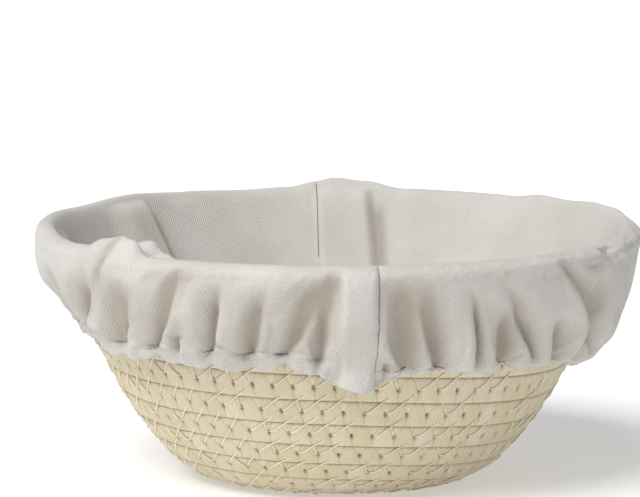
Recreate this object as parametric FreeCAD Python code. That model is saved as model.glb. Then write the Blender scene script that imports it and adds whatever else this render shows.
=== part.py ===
import FreeCAD, Part
import math
import os

# Round coiled plait proofing basket (banneton) with a gathered cloth liner.
# Millimetres, +Z up. The origin is the middle of the base where it stands. The front faces -Y.
# The basket is one flat plait wound from the middle of the base up to the rim, and each turn of
# it is a ring here. The liner is a cloth bag inside the bowl. Its side panels fold over the rim
# into a cuff, and an elastic band in the cuff's hem draws it in under the rim.

# Basket wall, measured on its outer face from the middle of the base
FLAT_RADIUS = 42.0          # flat underside
CORNER_RADIUS = 29.0        # rounding from the base into the wall
CORNER_TURN = 46.5          # degrees turned by that rounding
BELLY_RADIUS = 132.0        # slow curve of the lower wall
BELLY_TURN = 16.0           # degrees turned by the slow curve; above it the wall is straight
WALL = 5.0                  # thickness of the plait

# Turns of the plait: the widths that they cover on the outer face
CENTRE_TURN = 8.6           # radius of the tight first turn
BASE_PITCH = 9.3            # one turn in the base
BASE_TURNS = 6              # turns after the first, up to the foot of the wall
PITCH_GROWTH = 0.55         # each wall turn is sewn this much wider than the last
WIDEST_PITCH = 11.4
OPEN_TURNS = 5              # wall turns below the cuff
RIM_PITCH = 10.5            # turns under the cuff
RIM_TURNS = 4
GROOVE = 0.9                # depth of the groove between two turns
RIM_CROWN = 1.2             # rounding on top of the last turn
UNDERSIDE_BEVEL = 1.5       # from the groove to the flat underside of a base turn
THREAD = 0.76               # diameter of the sewing thread
THREAD_GAP = 0.05           # thread off what it lies on

# Liner
CLOTH = 1.0                 # cloth with its nap
LINER_GAP = 0.4             # between liner and plait
BOTTOM_PANEL_RADIUS = 42.0
BAG_TOP = 157.0             # place on the wall where the side panels fold over the rim
SEAM_AZIMUTH = -82.8        # front seam; the back seam is opposite
SEAM_WIDTH = 0.8            # stitch line
SEAM_GAP = 0.1              # between the bottom panel and the side panels
SEAM_LIFT = 0.35            # how far a stitch line stands off its cloth

# Cuff: middle of the cloth as (radius, height), from its crest to the hem
CREST = (107.8, 93.2)
CUFF = [CREST, (112.0, 91.2), (113.4, 86.0), (110.6, 74.8), (105.6, 65.7), (98.6, 58.8)]
HEM_RADIUS = 96.7
HEM_HEIGHT = 55.6
HEM_WIDE = 3.4              # casing, outside, across and up
HEM_TALL = 5.2
FRILL = [(97.0, 52.7), (95.6, 50.6), (94.4, 48.6)]
ELASTIC_WIDE = 0.9
ELASTIC_TALL = 2.8

UP = FreeCAD.Vector(0, 0, 1)
MIDDLE = FreeCAD.Vector(0, 0, 0)


def point(radius, height):
    return FreeCAD.Vector(radius, 0, height)


def wall_point(along, depth):
    """The point at that distance along the wall's outer face, sunk that far into the wall."""
    corner_end = FLAT_RADIUS + CORNER_RADIUS * math.radians(CORNER_TURN)
    belly_end = corner_end + BELLY_RADIUS * math.radians(BELLY_TURN)
    corner = math.radians(CORNER_TURN)
    steep = math.radians(CORNER_TURN + BELLY_TURN)
    if along <= FLAT_RADIUS:
        turn, radius, height = 0.0, along, 0.0
    elif along <= corner_end:
        turn = (along - FLAT_RADIUS) / CORNER_RADIUS
        radius = FLAT_RADIUS + CORNER_RADIUS * math.sin(turn)
        height = CORNER_RADIUS * (1 - math.cos(turn))
    else:
        turn = min(corner + (along - corner_end) / BELLY_RADIUS, steep)
        straight = max(along - belly_end, 0.0)
        radius = FLAT_RADIUS + CORNER_RADIUS * math.sin(corner)
        radius += BELLY_RADIUS * (math.sin(turn) - math.sin(corner)) + straight * math.cos(steep)
        height = CORNER_RADIUS * (1 - math.cos(corner))
        height += BELLY_RADIUS * (math.cos(corner) - math.cos(turn)) + straight * math.sin(steep)
    return point(radius - depth * math.sin(turn), height + depth * math.cos(turn))


def turn_ends():
    """Where each turn of the plait starts and ends along the wall's outer face."""
    ends = [0.0, CENTRE_TURN]
    for _ in range(BASE_TURNS):
        ends.append(ends[-1] + BASE_PITCH)
    for turn in range(OPEN_TURNS):
        ends.append(ends[-1] + min(BASE_PITCH + PITCH_GROWTH * turn, WIDEST_PITCH))
    for _ in range(RIM_TURNS):
        ends.append(ends[-1] + RIM_PITCH)
    return ends


def line(a, b):
    return Part.LineSegment(a, b).toShape()


def arc(a, through, b):
    return Part.Arc(a, through, b).toShape()


def spun(edges, start=0.0, turn=360.0):
    """The solid that a closed outline in the XZ plane sweeps round +Z, from an azimuth."""
    face = Part.Face(Part.Wire(Part.__sortEdges__(edges)))
    face.rotate(MIDDLE, UP, start)
    solid = face.revolve(MIDDLE, UP, turn)
    return solid


def strip(path, thickness):
    """Edges of a closed outline that runs along both sides of a smooth path."""
    sides = []
    for side in (1, -1):
        shifted = []
        for i, here in enumerate(path):
            before = path[max(i - 1, 0)]
            after = path[min(i + 1, len(path) - 1)]
            across = (after - before).cross(FreeCAD.Vector(0, 1, 0)).normalize()
            shifted.append(here + across * (side * thickness / 2))
        curve = Part.BSplineCurve()
        curve.interpolate(shifted)
        sides.append((curve.toShape(), shifted[0], shifted[-1]))
    (one, one_start, one_end), (other, other_start, other_end) = sides
    return [one, other, line(one_start, other_start), line(one_end, other_end)]


def bag_path(start, end, depth, points):
    step = (end - start) / (points - 1)
    return [wall_point(start + step * i, depth) for i in range(points)]


def save(name, solids):
    shape = solids[0] if len(solids) == 1 else Part.makeCompound(solids)
    for solid in shape.Solids:
        if not solid.isValid() or solid.Volume <= 0:
            raise ValueError(f"{name} has a bad solid")
    shape.exportStep(f"parts/{name}.step")
    box = shape.BoundBox
    size = f"{box.XLength:.0f} x {box.YLength:.0f} x {box.ZLength:.0f} mm"
    print(f"{name}: {size}, {shape.Volume / 1000:.1f} cm3")


def plait_turn(start, end, is_rim):
    """One turn: flat below where it stands, crowned on its other faces, grooved at both seams."""
    middle = (start + end) / 2
    inner_top = wall_point(end, WALL - GROOVE)
    outer_top = wall_point(end, GROOVE)
    if start == 0:
        crown = wall_point(end - GROOVE * 2, WALL)
        axis_top = wall_point(0, WALL)
        flat_edge = wall_point(end - UNDERSIDE_BEVEL, 0)
        edges = [line(MIDDLE, flat_edge), line(flat_edge, outer_top), line(outer_top, inner_top)]
        return spun(edges + [line(inner_top, crown), line(crown, axis_top), line(axis_top, MIDDLE)])
    outer_foot = wall_point(start, GROOVE)
    inner_foot = wall_point(start, WALL - GROOVE)
    edges = [line(outer_foot, inner_foot), arc(inner_foot, wall_point(middle, WALL), inner_top)]
    if is_rim:
        edges.append(arc(inner_top, wall_point(end + RIM_CROWN, WALL / 2), outer_top))
    else:
        edges.append(line(inner_top, outer_top))
    if end <= FLAT_RADIUS:
        flat_foot = wall_point(start + UNDERSIDE_BEVEL, 0)
        flat_top = wall_point(end - UNDERSIDE_BEVEL, 0)
        edges += [line(outer_top, flat_top), line(flat_top, flat_foot), line(flat_foot, outer_foot)]
    else:
        edges.append(arc(outer_top, wall_point(middle, 0), outer_foot))
    return spun(edges)


def thread_ring(along):
    """The sewing thread of one seam, lying in its groove: above the base, outside the wall."""
    lift = THREAD / 2 / math.cos(math.radians(20)) + THREAD_GAP
    depth = WALL - GROOVE + lift if along <= FLAT_RADIUS else GROOVE - lift
    centre = wall_point(along, depth)
    return Part.makeTorus(centre.x, THREAD / 2, point(0, centre.z), UP)


def basket():
    ends = turn_ends()
    for number, (start, end) in enumerate(zip(ends, ends[1:]), 1):
        save(f"plait_turn_{number:02d}", [plait_turn(start, end, end == ends[-1])])
    save("plait_sewing_thread", [thread_ring(along) for along in ends[1:-1]])


def halves(edges):
    """The left and right half of a spun outline, which meet at the front and back seams."""
    return spun(edges, SEAM_AZIMUTH - 180, 180), spun(edges, SEAM_AZIMUTH, 180)


def stitch_line(path, azimuth):
    """A narrow raised line of stitches up a panel's face."""
    turn = math.degrees(SEAM_WIDTH / path[len(path) // 2].x)
    return spun(strip(path, SEAM_LIFT), azimuth - turn / 2, turn)


def liner_bag():
    depth = WALL + LINER_GAP + CLOTH / 2
    radius = BOTTOM_PANEL_RADIUS - SEAM_GAP
    bottom = Part.makeCylinder(radius, CLOTH, point(0, WALL + LINER_GAP), UP)
    save("liner_bottom_panel", [bottom])
    left, right = halves(strip(bag_path(BOTTOM_PANEL_RADIUS, BAG_TOP, depth, 18), CLOTH))
    save("liner_side_panel_left", [left])
    save("liner_side_panel_right", [right])
    above_seam = point(0, WALL + LINER_GAP + CLOTH + THREAD / 2)
    seam = Part.makeTorus(BOTTOM_PANEL_RADIUS, THREAD / 2, above_seam, UP)
    save("liner_bottom_seam_thread", [seam])


def liner_cuff():
    depth = WALL + LINER_GAP + CLOTH / 2
    # the first two points run straight on from the side panels, so the ends meet flat
    path = [wall_point(BAG_TOP, depth), wall_point(BAG_TOP + CLOTH, depth)]
    path += [point(*p) for p in CUFF]
    left, right = halves(strip(path, CLOTH))
    save("liner_cuff_left", [left])
    save("liner_cuff_right", [right])
    save("liner_hem_frill", [spun(strip([point(*p) for p in FRILL], CLOTH))])
    hollow = box_ring(HEM_WIDE - 2 * CLOTH, HEM_TALL - 2 * CLOTH)
    save("liner_hem_casing", [box_ring(HEM_WIDE, HEM_TALL).cut(hollow)])
    save("liner_hem_elastic", [box_ring(ELASTIC_WIDE, ELASTIC_TALL)])
    thread_radius = HEM_RADIUS + (HEM_WIDE + THREAD) / 2
    save("liner_hem_thread", [Part.makeTorus(thread_radius, THREAD / 2, point(0, HEM_HEIGHT), UP)])


def box_ring(wide, tall):
    """A ring of rectangular section round the hem."""
    corners = [
        point(HEM_RADIUS + across * wide / 2, HEM_HEIGHT + up * tall / 2)
        for across, up in ((-1, -1), (1, -1), (1, 1), (-1, 1))
    ]
    return spun([line(a, b) for a, b in zip(corners, corners[1:] + corners[:1])])


def liner_seams():
    """Stitches of the two upright seams, inside the bag and down the outside of the cuff."""
    depth = WALL + LINER_GAP + CLOTH + THREAD_GAP + SEAM_LIFT / 2
    inside = bag_path(BOTTOM_PANEL_RADIUS + THREAD, BAG_TOP - THREAD, depth, 16)
    lift = CLOTH / 2 + SEAM_LIFT
    outside = []
    cuff = [point(*p) for p in CUFF]
    for before, here, after in zip(cuff, cuff[1:], cuff[2:]):
        across = (before - after).cross(FreeCAD.Vector(0, 1, 0)).normalize()
        outside.append(here + across * lift)
    for name, azimuth in (("front", SEAM_AZIMUTH), ("back", SEAM_AZIMUTH + 180)):
        save(f"liner_{name}_seam_thread", [stitch_line(inside, azimuth), stitch_line(outside, azimuth)])


os.makedirs("parts", exist_ok=True)
basket()
liner_bag()
liner_cuff()
liner_seams()
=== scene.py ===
import math
import random

import bmesh
import bpy
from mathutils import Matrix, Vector, noise


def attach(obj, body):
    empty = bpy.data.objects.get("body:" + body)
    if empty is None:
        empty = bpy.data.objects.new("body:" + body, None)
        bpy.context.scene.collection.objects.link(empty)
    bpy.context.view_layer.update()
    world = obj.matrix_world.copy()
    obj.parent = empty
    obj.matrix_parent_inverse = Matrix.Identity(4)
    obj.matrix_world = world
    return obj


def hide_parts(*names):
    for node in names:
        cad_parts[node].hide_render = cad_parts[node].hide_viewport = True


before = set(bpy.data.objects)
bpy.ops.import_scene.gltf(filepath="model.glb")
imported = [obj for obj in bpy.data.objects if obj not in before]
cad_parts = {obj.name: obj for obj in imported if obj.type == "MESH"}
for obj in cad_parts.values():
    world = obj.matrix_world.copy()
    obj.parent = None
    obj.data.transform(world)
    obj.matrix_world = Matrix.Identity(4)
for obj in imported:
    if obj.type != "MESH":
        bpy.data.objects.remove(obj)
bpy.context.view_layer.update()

mm = 0.001
tau = math.tau
print("frame loaded:", len(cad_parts), "nodes")


def clamp(x, low=0.0, high=1.0):
    return max(low, min(high, x))


def clampIndex(i, count):
    return max(0, min(count - 1, i))


def ease(x, start, end):  # 0 before start, 1 after end, smooth between
    x = clamp((x - start) / (end - start))
    return x * x * (3 - 2 * x)


def hump(x, width):
    return math.exp(-(x / width) ** 2)


def wrapTurn(degrees):  # to -180..180
    return (degrees + 180) % 360 - 180


def interpolate(table, x):  # table of (x, value), eased between
    if x <= table[0][0]:
        return table[0][1]
    for (x0, y0), (x1, y1) in zip(table, table[1:]):
        if x <= x1:
            return y0 + (y1 - y0) * ease(x, x0, x1)
    return table[-1][1]


def onPath(path, t):  # a smooth line through evenly numbered points, t from 0 to 1
    place = clamp(t) * (len(path) - 1)
    i = min(int(place), len(path) - 2)
    f = place - i
    p = [path[clampIndex(i + k, len(path))] for k in (-1, 0, 1, 2)]
    return tuple(
        0.5 * (
            2 * b + (c - a) * f + (2 * a - 5 * b + 4 * c - d) * f * f
            + (3 * b - a - 3 * c + d) * f ** 3
        )
        for a, b, c, d in zip(*p)
    )


def meshFromGrid(name, columns, rows, place, mapping, closeColumns=False, closeRows=False, paintedFoldShade=None):
    # place(i, j) gives a corner's point, mapping(i, j) its map coordinates
    # and the third, if given, how much painted shade it gets: deep in a fold, or in the shadow beside a
    # pleat
    bm = bmesh.new()
    deep = bm.verts.layers.float.new("paintedFoldShade") if paintedFoldShade else None
    made = bmesh.ops.create_grid(bm, x_segments=columns, y_segments=rows, size=1)["verts"]
    uv = bm.loops.layers.uv.new("map")
    spot = {}
    for v in made:
        i = round((v.co.x + 1) / 2 * columns)
        j = round((v.co.y + 1) / 2 * rows)
        spot[v] = mapping(i, j)
        v.co = place(i, j)
        if paintedFoldShade:
            v[deep] = paintedFoldShade(i, j)
    for face in bm.faces:
        for loop in face.loops:
            loop[uv].uv = spot[loop.vert]
    if closeColumns or closeRows:
        bmesh.ops.remove_doubles(bm, verts=bm.verts, dist=1e-6)
    mesh = bpy.data.meshes.new(name)
    bm.to_mesh(mesh)
    bm.free()
    mesh.shade_smooth()
    return mesh


def addPiece(name, mesh, body, material, replaced=()):
    piece = bpy.data.objects.new(name, mesh)
    bpy.context.scene.collection.objects.link(piece)
    mesh.materials.append(material)
    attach(piece, body)
    if replaced:
        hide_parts(*replaced)
    return piece


def threadMesh(name, paths, radius):  # one smooth tube along each list of points
    curve = bpy.data.curves.new(name, "CURVE")
    curve.dimensions = "3D"
    curve.bevel_depth = radius
    curve.bevel_resolution = 1
    curve.use_fill_caps = True
    curve.resolution_u = 2
    for points in paths:
        spline = curve.splines.new("NURBS")
        spline.points.add(len(points) - 1)
        for p, q in zip(spline.points, points):
            p.co = (*q, 1)
        spline.order_u = 3
        spline.use_endpoint_u = True
    holder = bpy.data.objects.new(name, curve)
    mesh = bpy.data.meshes.new_from_object(holder)
    bpy.data.objects.remove(holder)
    mesh.shade_smooth()
    return mesh


class Value:  # wraps a socket so that maths on it reads as a Python expression
    def __init__(self, tree, socket):
        self.tree, self.socket = tree, socket

    def math(self, operation, *others):
        node = self.tree.nodes.new("ShaderNodeMath")
        node.operation = operation
        for socket, other in zip(node.inputs, (self, *others)):
            feed(self.tree, socket, other)
        return Value(self.tree, node.outputs[0])

    def __add__(self, other):
        return self.math("ADD", other)

    def __mul__(self, other):
        return self.math("MULTIPLY", other)

    def __sub__(self, other):
        return self.math("SUBTRACT", other)

    def __truediv__(self, other):
        return self.math("DIVIDE", other)

    def __pow__(self, other):
        return self.math("POWER", other)

    def __rsub__(self, other):
        return (self * -1) + other

    __radd__ = __add__
    __rmul__ = __mul__

    def sin(self):
        return self.math("SINE")

    def abs(self):
        return self.math("ABSOLUTE")

    def floor(self):
        return self.math("FLOOR")

    def above(self, other):
        return self.math("GREATER_THAN", other)

    def upTo(self, other):
        return self.math("MINIMUM", other)

    def bell(self, width):  # 1 at zero, falling to 0 by about twice the width
        return ((self / width) ** 2 * -1).math("EXPONENT")

    def ramp(self, low, high):
        node = self.tree.nodes.new("ShaderNodeMapRange")
        node.interpolation_type = "SMOOTHSTEP"
        feed(self.tree, node.inputs["Value"], self)
        node.inputs["From Min"].default_value = low
        node.inputs["From Max"].default_value = high
        return Value(self.tree, node.outputs[0])


def feed(tree, socket, value):
    if isinstance(value, Value):
        tree.links.new(value.socket, socket)
    elif isinstance(value, (tuple, list)) and len(value) == 3 and socket.type == "RGBA":
        socket.default_value = (*value, 1)
    else:
        socket.default_value = value


class Finish:  # a material with its shader ready to be fed
    def __init__(self, name, **constants):
        self.material = bpy.data.materials.new(name)
        self.material.use_nodes = True
        self.tree = self.material.node_tree
        self.shader = self.tree.nodes["Principled BSDF"]
        for socket, value in constants.items():
            feed(self.tree, self.shader.inputs[socket.replace("_", " ")], value)

    def node(self, kind, settings=None, output=0, **sockets):
        node = self.tree.nodes.new("ShaderNode" + kind)
        for key, value in (settings or {}).items():
            setattr(node, key, value)
        for socket, value in sockets.items():
            feed(self.tree, node.inputs[socket.replace("_", " ")], value)
        return Value(self.tree, node.outputs[output])

    def map(self):  # across and along the piece's own map
        place = self.node("UVMap", {"uv_map": "map"})
        split = self.node("SeparateXYZ", Vector=place).socket.node
        return Value(self.tree, split.outputs[0]), Value(self.tree, split.outputs[1])

    def spot(self, x, y, z=0.0):
        return self.node("CombineXYZ", X=x, Y=y, Z=z)

    def noise(self, place, scale, detail=2.0, roughness=0.5):
        return self.node("TexNoise", Vector=place, Scale=scale, Detail=detail, Roughness=roughness)

    def mix(self, share, one, other):
        node = self.tree.nodes.new("ShaderNodeMix")
        node.data_type = "RGBA"
        feed(self.tree, node.inputs[0], share)
        feed(self.tree, node.inputs[6], one)
        feed(self.tree, node.inputs[7], other)
        return Value(self.tree, node.outputs[2])

    def bump(self, height, distance, strength=1.0):
        node = self.tree.nodes.new("ShaderNodeBump")
        node.inputs["Distance"].default_value = distance
        node.inputs["Strength"].default_value = strength
        feed(self.tree, node.inputs["Height"], height)
        return Value(self.tree, node.outputs[0])

    def use(self, **sockets):
        for socket, value in sockets.items():
            feed(self.tree, self.shader.inputs[socket.replace("_", " ")], value)
        return self.material


def shade(red, green, blue):  # a colour as read off a swatch, made linear
    return tuple((c / 255) ** 2.2 for c in (red, green, blue))


wall = {
    "flatRadius": 42 * mm,
    "cornerRadius": 29 * mm,
    "cornerTurn": math.radians(46.5),
    "bellyRadius": 132 * mm,
    "bellyTurn": math.radians(16),
    "thickness": 5 * mm,
}

plait = {
    "centreTurn": 8.6 * mm,
    "basePitch": 9.3 * mm,
    "baseTurns": 6,
    "pitchGrowth": 0.55 * mm,
    "widestPitch": 11.4 * mm,
    "openTurns": 5,
    "rimPitch": 10.5 * mm,
    "rimTurns": 4,
    "frontAzimuth": -82.0,  # degrees, where turns are counted
    "stitch": 7.6 * mm,
    "firstStitch": 0.25,  # where the first stitch falls, in stitches
    "squareness": 9.0,  # of the strip's rounded section
    "holeDepth": 1.5 * mm,
    "puff": 0.3 * mm,
    "pucker": 0.3 * mm,
    "slotDepth": 0.16 * mm,
    "strandRadius": 0.25 * mm,
    "mostDrop": 5.8 * mm,  # how much lower the rows hang on the right
}


def wallPoint(along, depth, azimuth):
    flat, corner, belly = wall["flatRadius"], wall["cornerRadius"], wall["bellyRadius"]
    cornerTurn, steep = wall["cornerTurn"], wall["cornerTurn"] + wall["bellyTurn"]
    cornerEnd = flat + corner * cornerTurn
    bellyEnd = cornerEnd + belly * wall["bellyTurn"]
    if along <= flat:
        turn, radius, height = 0.0, along, 0.0
    elif along <= cornerEnd:
        turn = (along - flat) / corner
        radius, height = flat + corner * math.sin(turn), corner * (1 - math.cos(turn))
    else:
        turn = min(cornerTurn + (along - cornerEnd) / belly, steep)
        straight = max(along - bellyEnd, 0.0)
        radius = flat + corner * math.sin(cornerTurn) + belly * (math.sin(turn) - math.sin(cornerTurn))
        height = corner * (1 - math.cos(cornerTurn)) + belly * (math.cos(cornerTurn) - math.cos(turn))
        radius += straight * math.cos(steep)
        height += straight * math.sin(steep)
    radius -= depth * math.sin(turn)
    height += depth * math.cos(turn)
    a = math.radians(azimuth)
    return Vector((radius * math.cos(a), radius * math.sin(a), height))


def countTurns():
    edges = [0.0, plait["centreTurn"]]
    for _ in range(plait["baseTurns"]):
        edges.append(edges[-1] + plait["basePitch"])
    for k in range(plait["openTurns"]):
        pitch = plait["basePitch"] + plait["pitchGrowth"] * k
        edges.append(edges[-1] + min(pitch, plait["widestPitch"]))
    for _ in range(plait["rimTurns"]):
        edges.append(edges[-1] + plait["rimPitch"])
    cells = [-plait["firstStitch"]]
    for low, high in zip(edges, edges[1:]):
        around = tau * wallPoint((low + high) / 2, 0, 0).to_2d().length
        cells.append(cells[-1] + max(3, round(around / plait["stitch"])) + 0.5)
    return edges, cells


turnEdges, turnCells = countTurns()
lastTurn = len(turnEdges) - 1


def edgeAt(turn):
    turn = clamp(turn, 0, lastTurn)
    k = min(int(turn), lastTurn - 1)
    return turnEdges[k] + (turnEdges[k + 1] - turnEdges[k]) * (turn - k)


def cellAt(turn):
    k = clampIndex(math.floor(turn), lastTurn)
    return turnCells[k] + (turnCells[k + 1] - turnCells[k]) * (turn - k)


def turnAtCell(cell):
    k = max([i for i in range(lastTurn) if turnCells[i] <= cell] or [0])
    return k + (cell - turnCells[k]) / (turnCells[k + 1] - turnCells[k])


def azimuthAt(turn):
    return plait["frontAzimuth"] - 360 * turn


def handLaid(along, azimuth):  # the rows aren't sewn quite level: they hang lower on the right
    side = wrapTurn(azimuth + 90)
    drop = plait["mostDrop"] * ease(side, -5, 70) * (1 - ease(side, 85, 172))
    return along - drop * ease(along, 36 * mm, 68 * mm) * (1 - ease(along, 116 * mm, 156 * mm))


def stripDepth(cell, across, inside):
    # how far the strip's face lies under its flat envelope, in metres
    n = plait["squareness"]
    rounded = (1 - min(abs(across), 1) ** n) ** (1 / n)
    nearest = round(cell)
    du = (cell - nearest) * 7.6  # mm along the strip from the hole
    dw = across * 5.3  # mm across it
    seed = nearest * 12.9898
    vary = math.sin(seed) * 0.5 + 0.5
    pit = hump(du - 0.12 * dw, 0.5) * hump(dw, 0.85)
    pucker = hump(du, 1.5) * hump(dw, 1.9)
    slot = hump(du - 0.16 * dw, 0.42) * ease(-across, 0.1, 0.4) * ease(1 - abs(across), 0.0, 0.25)
    puffed = (1 - math.cos(tau * (cell - nearest))) / 2 * (1 - across ** 2)
    cut = plait["holeDepth"] * pit + plait["pucker"] * pucker + plait["slotDepth"] * slot
    cut -= plait["puff"] * puffed * (0.6 + 0.7 * vary)
    return rounded, cut if not inside else cut * 0.7


def plaitPoint(turn, across, inside):
    low, high = edgeAt(turn), edgeAt(turn + 1)
    width = high - low
    along = (low + high) / 2 + across * width / 2
    half = wall["thickness"] / 2 * clamp(width / (6 * mm), 0.15, 1)
    rounded, cut = stripDepth(cellAt(turn), across, inside)
    cut *= clamp(width / (8 * mm))
    depth = half - half * rounded + cut if not inside else half + half * rounded - cut
    azimuth = azimuthAt(turn)
    point = wallPoint(handLaid(along, azimuth), depth, azimuth)
    point.z = max(point.z, 0.0)
    return point


outsideHalf = [0.06, 0.17, 0.32, 0.5, 0.7, 0.87, 0.965, 1]  # across the strip, from its middle
outsideRing = [-w for w in reversed(outsideHalf)] + outsideHalf
insideRing = [0.93, 0.65, 0.3, 0.08, -0.08, -0.3, -0.65, -0.93]
sectionRing = [(w, False) for w in outsideRing] + [(w, True) for w in insideRing]
cellSteps = [0, 0.045, 0.1, 0.18, 0.3, 0.43, 0.57, 0.7, 0.82, 0.9, 0.955]


def plaitTurn(number, start, end, material):
    firstCell, lastCell = cellAt(start), cellAt(end)
    stops = [c + s for c in range(math.floor(firstCell), math.ceil(lastCell) + 1) for s in cellSteps]
    stops = [firstCell] + [c for c in stops if firstCell + 0.01 < c < lastCell - 0.01] + [lastCell]
    around = len(sectionRing)

    def place(i, j):
        return plaitPoint(turnAtCell(stops[i]), *sectionRing[j % around])

    def mapping(i, j):
        across = sectionRing[j % around][0]
        return stops[i], across if j < around else -1.0

    name = f"plaitTurn{number:02d}"
    mesh = meshFromGrid(name, len(stops) - 1, around, place, mapping, closeRows=True)
    bm = bmesh.new()
    bm.from_mesh(mesh)
    bmesh.ops.holes_fill(bm, edges=[e for e in bm.edges if e.is_boundary])
    bmesh.ops.recalc_face_normals(bm, faces=bm.faces)
    bm.to_mesh(mesh)
    bm.free()
    return addPiece(name, mesh, "basket", material, [f"plait_turn_{number:02d}"])


def strandPath(turn, target, reach, samples=9):
    # from the stitch hole of one turn up across the seam to a hole of the turn above
    share = turn + 1 - target
    startAlong = (edgeAt(turn) + edgeAt(turn + 1)) / 2
    endAlong = (edgeAt(target) + edgeAt(target + 1)) / 2
    points = []
    for k in range(samples):
        t = reach * k / (samples - 1)
        ends = hump(t, 0.06) + hump(reach - t, 0.06)  # they dive into the holes
        depth = (-0.48 + 1.6 * ends + 0.25 * hump(t - 0.5, 0.13)) * mm
        azimuth = azimuthAt(turn) + 360 * share * t
        point = wallPoint(handLaid(startAlong + (endAlong - startAlong) * t, azimuth), depth, azimuth)
        point.z = max(point.z, plait["strandRadius"] * 1.2)
        points.append(point)
    return points


def plaitStrands(material):
    draw = random.Random(7)
    paths = []
    firstCell, lastCell = math.ceil(cellAt(1.2)), math.floor(cellAt(lastTurn - 1.05))
    for cell in range(firstCell, lastCell):
        turn = turnAtCell(cell)
        above = cellAt(turn + 1)
        low = edgeAt(turn + 1)
        if low < wall["flatRadius"]:
            continue
        side = wrapTurn(azimuthAt(turn) + 90)
        showing = 1 - 0.65 * ease(side, 18, 42) * (1 - ease(side, 100, 150))
        for shift, chance, reach in ((-1.5, 0.8, draw.uniform(0.8, 1.0)), (0.5, 0.35, 0.55)):
            goal = round(above + shift)
            if draw.random() < chance * showing and cellAt(lastTurn - 0.3) > goal:
                paths.append(strandPath(turn, turnAtCell(goal), reach))
    mesh = threadMesh("plaitStrands", paths, plait["strandRadius"])
    return addPiece("plaitStrands", mesh, "basket", material, ["plait_sewing_thread"])


def strawFinish():
    straw = Finish("strawPlait", Roughness=0.5, Specular_IOR_Level=0.35)
    cell, across = straw.map()
    upper = across.above(0.0)
    lean = across * 0.05
    near = cell - lean - (cell - lean + 0.5).floor()  # -0.5..0.5 from the nearest hole
    arm = near.abs() - across * 0.3
    flap = upper * (arm * -1).ramp(-0.02, 0.02)  # the small facet above each hole
    index = (cell - lean).floor() + flap * 0.5
    pick = straw.node("TexWhiteNoise", {"noise_dimensions": "1D"}, 0, W=index)
    pick2 = straw.node("TexWhiteNoise", {"noise_dimensions": "1D"}, 0, W=index + 71.3)
    creamToTan = straw.mix(pick, shade(220, 210, 188), shade(209, 197, 169))
    olive = straw.mix(pick2.ramp(0.55, 0.95) * 0.55, creamToTan, shade(205, 198, 162))
    pink = straw.mix((1 - pick2).ramp(0.6, 0.98) * 0.5, olive, shade(214, 198, 172))
    fibres = straw.noise(straw.spot(cell * 26, across * 1.6, index * 3.1), 1.0, 3.0, 0.6)
    fine = straw.noise(straw.spot(cell * 75, across * 5, index), 1.0, 2.0, 0.6)
    streaked = straw.mix(fibres.ramp(0.3, 0.75) * 0.45, pink, shade(188, 173, 139))
    # painted shade: the straw is darkened in the grooves between the turns (edge), inside the stitch
    # holes (hole), along the crease above each hole (armLine) and in the slit below it (slot)
    edge = across.abs().ramp(0.92, 1.01) * (0.35 + 0.65 * fine.ramp(0.45, 0.6))
    hole = (near / 0.075).bell(1.0) * (across / 0.17).bell(1.0)
    armLine = upper * (arm / 0.035).bell(1.0)
    slot = (1 - upper) * (near / 0.03).bell(1.0)
    paintedStrawShade = (edge * 0.2 + hole * 0.9 + armLine * 0.08 + slot * 0.1).upTo(0.92)
    colour = straw.mix(paintedStrawShade, streaked, shade(112, 92, 58))
    chevron = ((cell * 5 + across.abs() * 2.5 + fibres * 0.9) * tau).sin()
    height = fibres * 0.4 + fine * 0.35 + chevron * 0.16 - armLine * 0.6 - slot * 0.6 - flap * 0.35
    return straw.use(
        Base_Color=colour,
        Roughness=0.42 + fibres * 0.25,
        Normal=straw.bump(height, 0.25 * mm, 0.9),
    )


def glossyThreadFinish():
    thread = Finish(
        "plaitThread", Roughness=0.35, Specular_IOR_Level=0.6,
        Coat_Weight=0.3, Coat_Roughness=0.25,
    )
    where = thread.node("TexCoord", output=3)
    mottled = thread.noise(where, 900.0, 2.0)
    colour = thread.mix(mottled.ramp(0.3, 0.7), shade(240, 232, 208), shade(223, 212, 184))
    return thread.use(Base_Color=colour, Normal=thread.bump(mottled, 0.1 * mm, 0.6))


def buildBasket():
    straw = strawFinish()
    for number in range(1, lastTurn + 1):
        k = number - 1
        start = -0.5 if k == 0 else k - 0.5
        end = lastTurn - 0.12 if number == lastTurn else k + 0.5
        plaitTurn(number, start, end, straw)
    plaitStrands(glossyThreadFinish())
    print("basket plaited:", lastTurn, "turns,", round(turnCells[-1]), "stitches")


buildBasket()


liner = {
    "columns": 480,
    "cloth": 0.8 * mm,
    "lift": 0.9 * mm,  # middle of the cloth off the plait's inner face
    "bagStart": 42 * mm,
    "bagEnd": 156 * mm,
    "bagRows": 15,
    "cuffRows": 28,
    "frillRows": 6,
    "frontSeam": 7.2,  # degrees right of the front
    "backSeam": 184.5,
    "bandStart": 1.2,  # the flat seam allowance beside the front seam
    "simFrames": 12,
    "hemBehind": 0.95 * mm,  # how far the turned hem lies behind the cloth
    "elasticRadius": 0.4 * mm,
    "seamThread": 0.28 * mm,
    "hemThread": 0.16 * mm,
    "stitch": 2.3 * mm,
    "stitchGap": 0.8 * mm,
    "bottomSeamHeight": 6.75 * mm,
    "mapAround": 0.69,  # metres of the cloth's own map once round
    "meanRadius": 108 * mm,  # for the cut width of a side panel
    "hemTurn": 6 * mm,  # cloth turned up inside the hem
    "smoothedShare": 0.98,  # of a panel's area that is left once it has been smoothed
    "growth": 0.03,  # the cloth is this much wider than the basket, so it buckles
    "mostSettled": 1.3 * mm,
}

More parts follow.
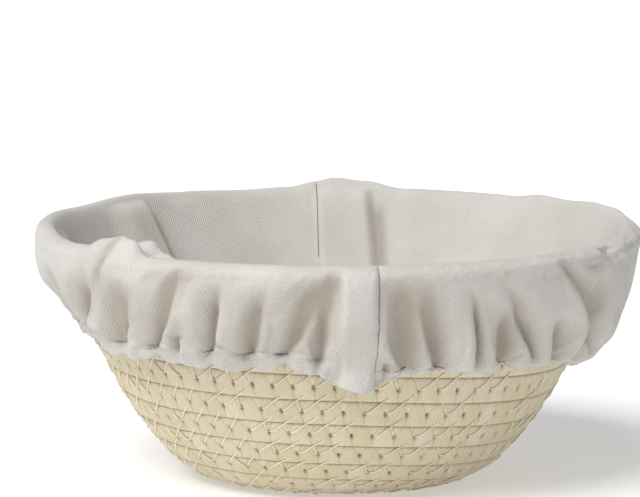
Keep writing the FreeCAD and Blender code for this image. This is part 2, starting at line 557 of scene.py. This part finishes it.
# the cuff's section as (radius, height) in mm, from inside the rim to the elastic. It is full
# between the folds and drawn in at their floors; on the right it sags over its own hem
fullLeft = [
    (104.6, 90.4), (107.6, 93.2), (111.6, 92.2), (114.0, 87.8), (113.6, 81.6),
    (111.8, 75.0), (109.0, 70.0), (106.4, 65.2), (103.4, 60.8),
]
fullRight = [
    (104.6, 90.4), (107.4, 93.2), (110.9, 92.0), (112.6, 87.4), (112.6, 80.6),
    (111.2, 73.2), (108.4, 66.0), (105.0, 59.3), (100.8, 53.6),
]
drawnLeft = [
    (104.6, 90.4), (107.4, 93.2), (110.0, 91.8), (110.0, 87.4), (107.0, 81.0),
    (103.6, 74.4), (100.8, 69.0), (98.2, 64.0), (95.8, 60.6),
]
drawnRight = [
    (104.6, 90.4), (107.4, 93.2), (109.8, 91.8), (109.8, 87.2), (106.6, 80.2),
    (103.0, 73.0), (99.4, 66.0), (96.2, 59.4), (93.2, 54.4),
]

# folds drawn in by the elastic, in degrees right of the front: where each one meets the elastic,
# where it fades out, how far up that is (1 is the elastic, 0 the crest), half width and depth
frontFolds = [
    (-65.4, -54, 0.38, 2.0, 1.0), (-51.8, -43, 0.4, 2.6, 1.1), (-41.3, -27.3, 0.2, 1.9, 1.1),
    (-34.6, -31.5, 0.66, 1.2, 0.65), (-27.3, -21.9, 0.36, 1.5, 0.9), (-18.7, -13.6, 0.36, 1.8, 1.0),
    (-11.1, -3.1, 0.28, 1.9, 1.1), (-4.0, 0.0, 0.18, 1.3, 1.0), (9.8, 9.0, 0.82, 0.9, 0.9),
    (14.6, 10.6, 0.28, 2.1, 1.1), (22.2, 15.6, 0.34, 1.6, 1.0), (31.1, 24.8, 0.4, 1.2, 0.75),
    (38, 31.9, 0.5, 1.9, 1.0), (46.7, 31.8, 0.38, 1.3, 0.8), (53.9, 47.7, 0.6, 1.7, 0.9),
    (64.5, 59.4, 0.42, 2.0, 0.95), (73.7, 48.5, 0.36, 1.0, 0.75),
]


def allFolds():
    draw = random.Random(41)
    found = list(frontFolds)
    angle = 82.0
    while angle < 288:
        reach = draw.uniform(0.3, 0.65)
        top = angle + draw.uniform(-9, 9)
        found.append((angle, top, reach, draw.uniform(1.1, 2.3), draw.uniform(0.7, 1.0)))
        angle += draw.uniform(6, 11)
    return found


folds = allFolds()

# all of these by degrees right of the front: the share of the right's sagging section, then in mm
# how much the elastic rises, how long the frill is and how much the crest of the rim rises
sagTable = [(-180, 0.5), (-120, 0), (-5, 0), (2, 0.25), (7, 0.4), (12, 1), (120, 1), (180, 0.5)]
elasticRise = [
    (-80, 0.6), (-65, 0.6), (-52, -1.4), (-41, -0.5), (-10, 0.3), (-3, -1.6), (7, -1.8),
    (12, 0.5), (40, 0), (56, -2.2), (66, -5.5), (78, -6.5), (110, -3), (180, 0),
]
frillLength = [
    (-180, 6), (-65, 6.2), (-40, 7.2), (-20, 8.4), (-4, 7.4), (2, 8.6),
    (7, 8.8), (9.5, 6.2), (14, 4.4), (20, 3), (120, 3), (180, 6),
]
crestStart = -62  # the crest's table runs once round from here
crestLift = [
    (-62, 0.2), (-56, 0.8), (-50, 4.6), (-45, 6.4), (-41.5, 5.8), (-38.6, 0.2), (78, 0.2),
    (88, 1.8), (102, 3.0), (112, 2.8), (124, 1.4), (133, 1.7), (140, 0), (166, 0),
    (174.5, 3.0), (181, 4.2), (184.2, 2.8), (190, 0.6), (200, 0), (214, 0.8),
    (228, 2.0), (244, 0.9), (262, 2.2), (276, 2.2), (292, 0.4), (298, 0.2),
]


def liftAt(angle):
    return interpolate(crestLift, crestStart + (angle - crestStart) % 360)


def drawn(angle, t):  # 0 where the cuff is full, 1 at the floor of a fold
    total = 0.0
    for bottom, top, fade, width, depth in folds:
        if t < fade:
            continue
        centre = bottom + (top - bottom) * (1 - t) / (1 - fade)
        off = wrapTurn(angle - centre)
        spread = width * (1 + 0.5 * (1 - t) / (1 - fade))
        if abs(off) < 4 * spread:
            shape = 0.72 * hump(off, 0.78 * spread) + 0.4 * hump(off, 1.8 * spread)
            total += 1.1 * depth * shape * ease(t, fade, fade + 0.22)
    return clamp(total - 0.04)


def bandAt(angle):  # 1 on the flat seam allowance
    start, end = liner["bandStart"], liner["frontSeam"]
    return ease(angle, start - 0.4, start + 0.3) * (1 - ease(angle, end - 0.1, end + 0.35))


def tuckedAt(angle):  # 1 at the sides and back, where the hem lies close to the bowl
    return max(1 - ease(angle, -82, -50), ease(angle, 48, 70))


# slanting creases under the rim: angle at t = 0.4, slope, where each starts and ends, width, depth
rimCreases = [
    (48.5, 34, 0.26, 0.85, 1.5, 4.0),
    (-48.6, -12, 0.08, 0.6, 1.4, 3.0),
    (63, 30, 0.16, 0.5, 1.0, 2.0),
]


def creased(angle, t):
    total = 0.0
    for middle, slope, start, end, width, depth in rimCreases:
        across = hump(angle - middle - slope * (t - 0.4), width)
        total += depth * across * ease(t, start, start + 0.12) * (1 - ease(t, end - 0.2, end))
    return total


def backPleat(turned, t):  # how far, in degrees, past the folded edges of the two pleats in the bag
    return turned + 11 * (1 - t) - 173.2, turned + 8.5 * (1 - t) - 226.4


def lipAt(angle):  # a loose fold standing inside the left of the rim
    return ease(angle, -46, -42.5) * (1 - ease(angle, -39, -29))


def creaseAt(angle, seam):  # the pressed line of a seam
    return hump(wrapTurn(angle - seam), 0.4)


def polar(radius, height, angle):
    a = math.radians(angle - 90)
    return Vector((radius * math.cos(a), radius * math.sin(a), height)) * mm


def blendPoints(one, other, share):
    return tuple(a + (b - a) * share for a, b in zip(one, other))


def cuffPoint(angle, t):
    angle = wrapTurn(angle)
    sag = interpolate(sagTable, angle)
    full = blendPoints(onPath(fullLeft, t), onPath(fullRight, t), sag)
    tight = blendPoints(onPath(drawnLeft, t), onPath(drawnRight, t), sag)
    band = bandAt(angle)
    share = drawn(angle, t) * (1 - band) + 0.16 * band * ease(t, 0.3, 0.6)
    swell = noise.noise(Vector((angle * 0.13, t * 2.5, 3.0))) * 1.1 * ease(t, 0.15, 0.4) * (1 - band)
    gathers = noise.noise(Vector((angle * 0.6, t * 0.6, 8.0))) * 1.3 * ease(t, 0.6, 0.9) * (1 - band)
    crumpled = noise.noise(Vector((angle * 0.17 + t * 4, t * 3, 5.0))) * 2.2
    gathers += crumpled * ease(angle, 35, 55) * hump(t - 0.3, 0.14)
    gathers -= creased(angle, t)
    radius, height = blendPoints(full, tight, share)
    radius += swell + gathers + band * (1.6 * ease(t, 0.15, 0.3) + ease(t, 0.84, 1))
    radius -= 0.9 * creaseAt(angle, liner["frontSeam"]) * ease(t, 0.1, 0.2)
    height += interpolate(elasticRise, angle) * ease(t, 0.5, 1.0)
    height += liftAt(angle) * hump(t - 0.14, 0.2)
    lip = lipAt(angle) * (1 - ease(t, 0.0, 0.09))
    radius -= 6 * lip
    height += 5 * lip - 5.5 * lipAt(angle) * hump(t - 0.085, 0.035)
    radius -= 3.6 * tuckedAt(angle) * ease(t, 0.68, 1)
    return polar(radius, height, angle)


def frillPoint(angle, t):  # t from 0 at the elastic to 1 at the edge
    angle = wrapTurn(angle)
    share = drawn(angle, 1.0) * (1 - 0.9 * bandAt(angle))
    start = cuffPoint(angle, 1.0) / mm
    ruffle = noise.noise(Vector((angle * 0.42, 9.0, t * 0.4)))
    band = bandAt(angle)
    first = start.to_2d().length
    even = 101.2 - 4.4 * interpolate(sagTable, angle) - 3.8 * tuckedAt(angle)
    even += 1.7 * ruffle - 2.2 * share
    radius = first + (even - first) * (1 - band) * ease(t, -0.15, 0.8) - 1.2 * t * t
    uneven = 1 + 0.3 * noise.noise(Vector((angle * 0.16, 4.0, 0))) - 0.3 * share * share
    height = start.z - interpolate(frillLength, angle) * t * uneven
    return polar(max(radius, 91.6 + (height - 50) * 0.52), height, angle)


def bagRelief(angle, t):  # how far the bag stands off the plait, in mm
    turned = angle % 360
    middle, side = backPleat(turned, t)
    pleat = ease(middle, -0.5, 0.5) * (1 - ease(turned + 1.4 * (1 - t), 184.0, 185.0))
    pleat *= 0.75 + 0.3 * hump(middle - 0.5, 3)
    leftPleat = ease(side, -0.5, 0.5) * (1 - ease(turned, 232, 240))
    drape = 1.6 * hump(turned - 215.6 + 62 * (1 - t), 3.5) * ease(t, 0.45, 0.7)
    left = ease(turned, 262, 272) * (1 - ease(turned, 300, 318)) * 2.4
    wave = noise.noise(Vector((angle * 0.035, t * 2.0, 1.0))) * 1.2 + 0.4
    loose = max(0, wave) * ease(t, 0.1, 0.4) * (1 - ease(t, 0.85, 1))
    loose *= 1 - ease(turned, 165, 172) * (1 - ease(turned, 190, 200))
    pleats = (4.0 * pleat + 3.4 * leftPleat) * ease(t, 0.15, 0.5)
    return loose + drape + pleats + left * ease(t, 0.4, 0.9) * (1 - ease(t, 0.95, 1))


def bagPoint(angle, t):
    along = liner["bagStart"] + (liner["bagEnd"] - liner["bagStart"]) * t
    depth = wall["thickness"] + liner["lift"] + bagRelief(angle, t) * mm
    point = wallPoint(along, depth, angle - 90)
    point.z += liftAt(angle) * mm * ease(t, 0.82, 1.0) * 0.6
    lip = lipAt(wrapTurn(angle)) * ease(t, 0.8, 1)
    inward = Vector((-point.x, -point.y, 0)).normalized()
    return point + (inward * 6 + Vector((0, 0, 5))) * lip * mm


def clothPoint(angle, row):
    bag, cuff = liner["bagRows"], liner["cuffRows"]
    if row <= bag:
        return bagPoint(angle, row / bag)
    if row <= bag + cuff:
        return cuffPoint(angle, (row - bag) / cuff)
    return frillPoint(angle, (row - bag - cuff) / liner["frillRows"])


clothRowCount = liner["bagRows"] + liner["cuffRows"] + liner["frillRows"]
elasticRow = liner["bagRows"] + liner["cuffRows"]


def columnAngle(i):
    return liner["backSeam"] - 360 + 360 / liner["columns"] * i


def sewCloth():
    # the whole side of the liner as rows of points, starting at the back seam
    angles = [columnAngle(i) for i in range(liner["columns"])]
    return settle([[clothPoint(angle, row) for angle in angles] for row in range(clothRowCount + 1)])


def settle(sheet):
    # cloth simulation of the cuff and its frill, held inside the rim and along the elastic
    columns, firstRow = liner["columns"], liner["bagRows"]
    rows = clothRowCount - firstRow
    mesh = meshFromGrid(
        "settling", columns, rows,
        lambda i, j: sheet[firstRow + j][i % columns],
        lambda i, j: (i / columns, j / rows), closeColumns=True,
    )
    spots = {}
    for row in range(firstRow, clothRowCount + 1):
        for i in range(columns):
            spots[tuple(round(c, 7) for c in sheet[row][i])] = (row, i)
    cloth = bpy.data.objects.new("settling", mesh)
    bpy.context.scene.collection.objects.link(cloth)
    order = [spots[tuple(round(c, 7) for c in v.co)] for v in mesh.vertices]
    pins = cloth.vertex_groups.new(name="pins")
    for index, (row, i) in enumerate(order):
        t = (row - firstRow) / liner["cuffRows"]
        rim = 1 - ease(t, 0.2, 0.4)
        elastic = hump((t - 1) * liner["cuffRows"], 0.9)
        band = 0.9 * bandAt(columnAngle(i)) * (t < 1.05)
        pins.add([index], min(max(rim, elastic, band) + 0.02, 1), "REPLACE")
    proxy = bpy.data.objects.new("proxy", proxyMesh())
    bpy.context.scene.collection.objects.link(proxy)
    proxy.modifiers.new("hard", "COLLISION")
    proxy.collision.thickness_outer = 0.5 * mm
    proxy.collision.cloth_friction = 12
    sim = cloth.modifiers.new("settle", "CLOTH")
    rules = sim.settings
    rules.quality = 6
    rules.mass = 0.12
    rules.air_damping = 3
    rules.tension_stiffness = rules.compression_stiffness = 25
    rules.shear_stiffness = 8
    rules.bending_stiffness = 0.35
    rules.vertex_group_mass = "pins"
    rules.pin_stiffness = 6
    rules.shrink_min = -liner["growth"]
    sim.collision_settings.collision_quality = 3
    sim.collision_settings.distance_min = 0.5 * mm
    sim.collision_settings.use_self_collision = False
    sim.point_cache.frame_start = 1
    sim.point_cache.frame_end = liner["simFrames"]
    rules.effector_weights.gravity = 0.4
    scene = bpy.context.scene
    for frameNumber in range(1, liner["simFrames"] + 1):
        scene.frame_set(frameNumber)
    settled = cloth.evaluated_get(bpy.context.evaluated_depsgraph_get()).to_mesh()
    farthest = 0.0
    for v, (row, i) in zip(settled.vertices, order):
        moved = v.co - sheet[row][i]
        farthest = max(farthest, moved.length)
        if moved.length > liner["mostSettled"]:
            moved *= liner["mostSettled"] / moved.length
        sheet[row][i] = sheet[row][i] + moved
    scene.frame_set(1)
    for thing in (cloth, proxy):
        bpy.data.objects.remove(thing)
    print("cuff settled, farthest move", round(farthest / mm, 1), "mm")
    return sheet


def proxyMesh():  # the outside of the bowl, plain, for the cloth to lie on
    def place(i, j):
        return wallPoint(100 * mm + 60 * mm * j / 12, 0, i * 3)

    return meshFromGrid("proxy", 120, 12, place, lambda i, j: (0, 0), closeColumns=True)


def thicken(piece):
    thick = piece.modifiers.new("cloth", "SOLIDIFY")
    thick.thickness = liner["cloth"]
    thick.offset = 0


def measureRuns():  # how far along the cloth each row lies, from the bottom seam
    column = liner["columns"] // 5
    runs = [0.0]
    for row, following in zip(sheet, sheet[1:]):
        runs.append(runs[-1] + (following[column] - row[column]).length)
    return runs


sheet = sewCloth()
clothRuns = measureRuns()


def clothPanel(name, firstColumn, lastColumn, firstRow, lastRow, material, replaced, behind=0.0):
    columns = liner["columns"]

    def place(i, j):
        point = sheet[firstRow + j][(firstColumn + i) % columns]
        return point - Vector((point.x, point.y, 0)).normalized() * behind

    def mapping(i, j):
        return (firstColumn + i) / columns * liner["mapAround"], clothRuns[firstRow + j]

    # painted shade: darkens the cloth in the shadows beside the bag's two pleats and along the floors
    # of the cuff's folds and creases
    def paintedFoldShade(i, j):
        angle = columnAngle(firstColumn + i)
        t = (firstRow + j - liner["bagRows"]) / liner["cuffRows"]
        if t <= 0:
            low = (firstRow + j) / liner["bagRows"]
            middle, side = backPleat(angle % 360, low)
            return (hump(middle + 1.9, 1.4) + 0.8 * hump(side + 1.2, 0.9)) * (1 - ease(low, 0.93, 1))
        angle = wrapTurn(angle)
        deep = drawn(angle, min(t, 1)) * (1 - bandAt(angle)) * (1 - 0.8 * ease(t, 0.98, 1.04))
        return clamp(deep + 0.22 * creased(angle + 0.5, t))

    across, down = lastColumn - firstColumn, lastRow - firstRow
    mesh = meshFromGrid(name, across, down, place, mapping, across == columns, paintedFoldShade=paintedFoldShade)
    piece = addPiece(name, mesh, "liner", material, replaced)
    thicken(piece)
    smooth = piece.modifiers.new("smooth", "SUBSURF")
    smooth.levels = smooth.render_levels = 1
    return piece


def twillFinish():
    twill = Finish(
        "cottonTwill", Roughness=0.9, Specular_IOR_Level=0.15,
        Sheen_Weight=0.25, Sheen_Roughness=0.5,
    )
    across, along = twill.map()
    place = twill.spot(across * 1000, along * 1000)
    wander = twill.noise(place, 0.35, 2.0, 0.5)
    line = (across * 0.82 + along * 0.57) * (tau / (0.85 * mm)) + wander * 2.2
    yarns = ((along * 0.82 - across * 0.57) * (tau / (0.7 * mm))).sin()
    rib = line.sin() * 0.5 + 0.5
    fuzz = twill.noise(place, 1.3, 3.0, 0.7)
    patch = twill.noise(place, 0.04, 3.0, 0.5)
    weave = rib * (0.75 + 0.25 * (yarns * 0.5 + 0.5)) * (0.7 + 0.6 * fuzz)
    cream = twill.mix(patch.ramp(0.3, 0.7), shade(208, 206, 201), shade(199, 196, 190))
    # painted shade in the grooves between the twill's ribs, plus a random mottle of the yarn from the
    # fuzz
    weaveShadeAndMottle = 0.2 * (1 - weave) + 0.24 * (1 - fuzz.ramp(0.25, 0.6))
    colour = twill.mix(weaveShadeAndMottle, cream, shade(150, 142, 132))
    # painted shade: folds, creases and pleat shadows are darkened to a brown-grey
    paintedFoldShade = twill.node("Attribute", {"attribute_name": "paintedFoldShade"}, 2)
    colour = twill.mix(paintedFoldShade * 0.68, colour, shade(154, 141, 124))
    return twill.use(Base_Color=colour, Normal=twill.bump(weave * 0.8 + fuzz * 1.6, 0.3 * mm, 0.55))


def plainThreadFinish(name, light, dark):
    thread = Finish(name, Roughness=0.7, Specular_IOR_Level=0.3)
    where = thread.node("TexCoord", output=3)
    mottled = thread.noise(where, 1500.0, 2.0)
    colour = thread.mix(mottled.ramp(0.3, 0.7), shade(*light), shade(*dark))
    return thread.use(Base_Color=colour, Normal=thread.bump(mottled, 0.1 * mm, 0.6))


def alongRow(row, first, last, lift):  # points along a row of the sheet, lifted off its face
    columns = liner["columns"]
    points = []
    for i in range(first, last + 1):
        here = sheet[row][i % columns]
        outward = Vector((here.x, here.y, 0)).normalized()
        points.append(here + outward * lift)
    return points


def downColumn(column, firstRow, lastRow, lift):
    columns = liner["columns"]
    points = []
    for row in range(firstRow, lastRow + 1):
        here, side = sheet[row][column % columns], sheet[row][(column + 1) % columns]
        before, after = sheet[max(row - 1, firstRow)], sheet[min(row + 1, lastRow)]
        ahead = after[column % columns] - before[column % columns]
        points.append(here + (side - here).cross(ahead).normalized() * lift)
    return points


def stitches(path, length, gap, sink):  # short stitches along a line, their ends pulled into the cloth
    found, run, last = [], 0.0, path[0]
    dense = [p.lerp(q, k / 8) for p, q in zip(path, path[1:]) for k in range(8)]
    current = []
    for p in dense:
        run += (p - last).length
        last = p
        if run % (length + gap) < length:
            current.append(p)
        elif current:
            found.append(current)
            current = []
    shaped = []
    for points in found:
        if len(points) > 3:
            picks = [points[0], points[len(points) // 3], points[-1 - len(points) // 3], points[-1]]
            picks[0] = picks[0] + sink
            picks[-1] = picks[-1] + sink
            shaped.append(picks)
    return shaped


def sewPanels(twill):
    columns = liner["columns"]
    seam = round((liner["frontSeam"] - liner["backSeam"] + 360) / 360 * columns)
    left = clothPanel(
        "linerPanelLeft", 0, seam, 0, clothRowCount, twill,
        ["liner_side_panel_left", "liner_cuff_left"],
    )
    right = clothPanel(
        "linerPanelRight", seam, columns, 0, clothRowCount, twill,
        ["liner_side_panel_right", "liner_cuff_right"],
    )
    frill = clothPanel(
        "linerFrill", 0, columns, elasticRow - 2, clothRowCount, twill,
        ["liner_hem_frill", "liner_hem_casing"], liner["hemBehind"],
    )
    return seam, left, right, frill


def sewBottom(twill):
    columns, rows = 96, 12

    def place(i, j):
        a, r = tau * i / columns, liner["bagStart"] * j / rows
        return Vector((r * math.cos(a), r * math.sin(a), wall["thickness"] + liner["lift"]))

    def mapping(i, j):
        return place(i, j).to_2d()

    mesh = meshFromGrid("linerBottom", columns, rows, place, mapping, closeColumns=True)
    bottom = addPiece("linerBottom", mesh, "liner", twill, ["liner_bottom_panel"])
    thicken(bottom)
    return bottom


def addThread(name, paths, radius, material, node):
    addPiece(name, threadMesh(name, paths, radius), "liner", material, [node])


def sewSeams(seam, sewing):
    radius, step = liner["bagStart"], 0.05
    angles = [step * k for k in range(127)]  # a little over once round
    height = liner["bottomSeamHeight"]
    ring = [Vector((radius * math.cos(a), radius * math.sin(a), height)) for a in angles]
    paths = stitches(ring, 2.4 * mm, 0.7 * mm, Vector((0, 0, -0.3 * mm)))
    addThread("linerBottomSeam", paths, liner["seamThread"], sewing, "liner_bottom_seam_thread")
    length, gap = liner["stitch"], liner["stitchGap"]
    for name, column in (("Front", seam), ("Back", 0)):
        inside = downColumn(column, 1, liner["bagRows"] - 1, -0.55 * mm)
        outside = downColumn(column, liner["bagRows"] + 3, clothRowCount - 1, 0.4 * mm)
        out = outside[5].normalized() * 0.4 * mm
        paths = stitches(inside, length, gap, out) + stitches(outside, length, gap, -out)
        node = f"liner_{name.lower()}_seam_thread"
        addThread(f"liner{name}Seam", paths, liner["seamThread"], sewing, node)
    hem = alongRow(elasticRow + 1, 0, liner["columns"], 0.4 * mm)
    paths = stitches(hem, length, gap, Vector((0, 0, 0)))
    addThread("linerHemThread", paths, liner["hemThread"], sewing, "liner_hem_thread")


def fitElastic():
    rubber = Finish("elasticBand", Roughness=0.6)
    weave = rubber.noise(rubber.node("TexCoord", output=3), 700.0)
    rubber.use(Base_Color=rubber.mix(weave, shade(228, 226, 220), shade(204, 201, 194)))
    path = alongRow(elasticRow, 0, liner["columns"], -liner["hemBehind"])
    mesh = threadMesh("linerElastic", [path], liner["elasticRadius"])
    addPiece("linerElastic", mesh, "liner", rubber.material, ["liner_hem_elastic"])


def declareSheets(left, right, frill):
    # half way round, from the bottom seam into the hem
    sheetArea(left)
    sheetArea(right)


def sheetArea(piece):
    return sum(face.area for face in piece.data.polygons) * liner["smoothedShare"]


def buildLiner():
    twill = twillFinish()
    sewing = plainThreadFinish("linerThread", (210, 206, 198), (192, 187, 178))
    seam, left, right, frill = sewPanels(twill)
    bottom = sewBottom(twill)
    sewSeams(seam, sewing)
    fitElastic()
    print("liner sewn")
    declareSheets(left, right, frill)


buildLiner()


studio = {
    "cameraDistance": 1.6,
    "cameraHeight": 0.3125,
    "target": (-0.0065, 0.0, 0.0845),
    "lens": 242.4,
    "keyPlace": (-5.8, -7.0, 12.0),
    "keyAim": (0, 0, 0.05),
    "keyPower": 2670,
    "keySize": 9.5,
    "skyStrength": 0.28,
    "floorGlow": 0.34,
    "floorSize": 6,
    "floorGap": 0.4 * mm,  # so that the plait and the floor don't share a face
}


def aimAt(thing, place, aim):
    thing.location = place
    thing.rotation_euler = (Vector(aim) - Vector(place)).to_track_quat("-Z", "Y").to_euler()
    bpy.context.scene.collection.objects.link(thing)


def setCamera():
    cam = bpy.data.cameras.new("camera")
    cam.sensor_width = 36
    cam.lens = studio["lens"]
    cam.clip_end = 50
    camera = bpy.data.objects.new("camera", cam)
    aimAt(camera, (0, -studio["cameraDistance"], studio["cameraHeight"]), studio["target"])
    bpy.context.scene.camera = camera


def layFloor():
    mesh = bpy.data.meshes.new("floor")
    bm = bmesh.new()
    bmesh.ops.create_grid(bm, x_segments=1, y_segments=1, size=studio["floorSize"])
    bm.to_mesh(mesh)
    bm.free()
    floor = bpy.data.objects.new("floor", mesh)
    floor.location.z = -studio["floorGap"]
    glow = studio["floorGlow"]
    pale = Finish("paleFloor", Roughness=0.8, Emission_Color=(1, 1, 1), Emission_Strength=glow)
    grain = pale.noise(pale.node("TexCoord", output=3), 3.0)
    colour = pale.mix(grain, (0.76, 0.76, 0.76), (0.78, 0.78, 0.78))
    mesh.materials.append(pale.use(Base_Color=colour))
    bpy.context.scene.collection.objects.link(floor)


def lightStudio():
    world = bpy.data.worlds.new("studio")
    world.use_nodes = True
    sky = world.node_tree.nodes["Background"]
    sky.inputs["Color"].default_value = (1, 1, 1, 1)
    sky.inputs["Strength"].default_value = studio["skyStrength"]
    bpy.context.scene.world = world
    light = bpy.data.lights.new("key", "AREA")
    light.energy = studio["keyPower"]
    light.size = studio["keySize"]
    aimAt(bpy.data.objects.new("key", light), studio["keyPlace"], studio["keyAim"])


def buildStudio():
    setCamera()
    layFloor()
    lightStudio()
    bpy.context.scene.view_settings.view_transform = "Standard"
    print("studio lit")


buildStudio()
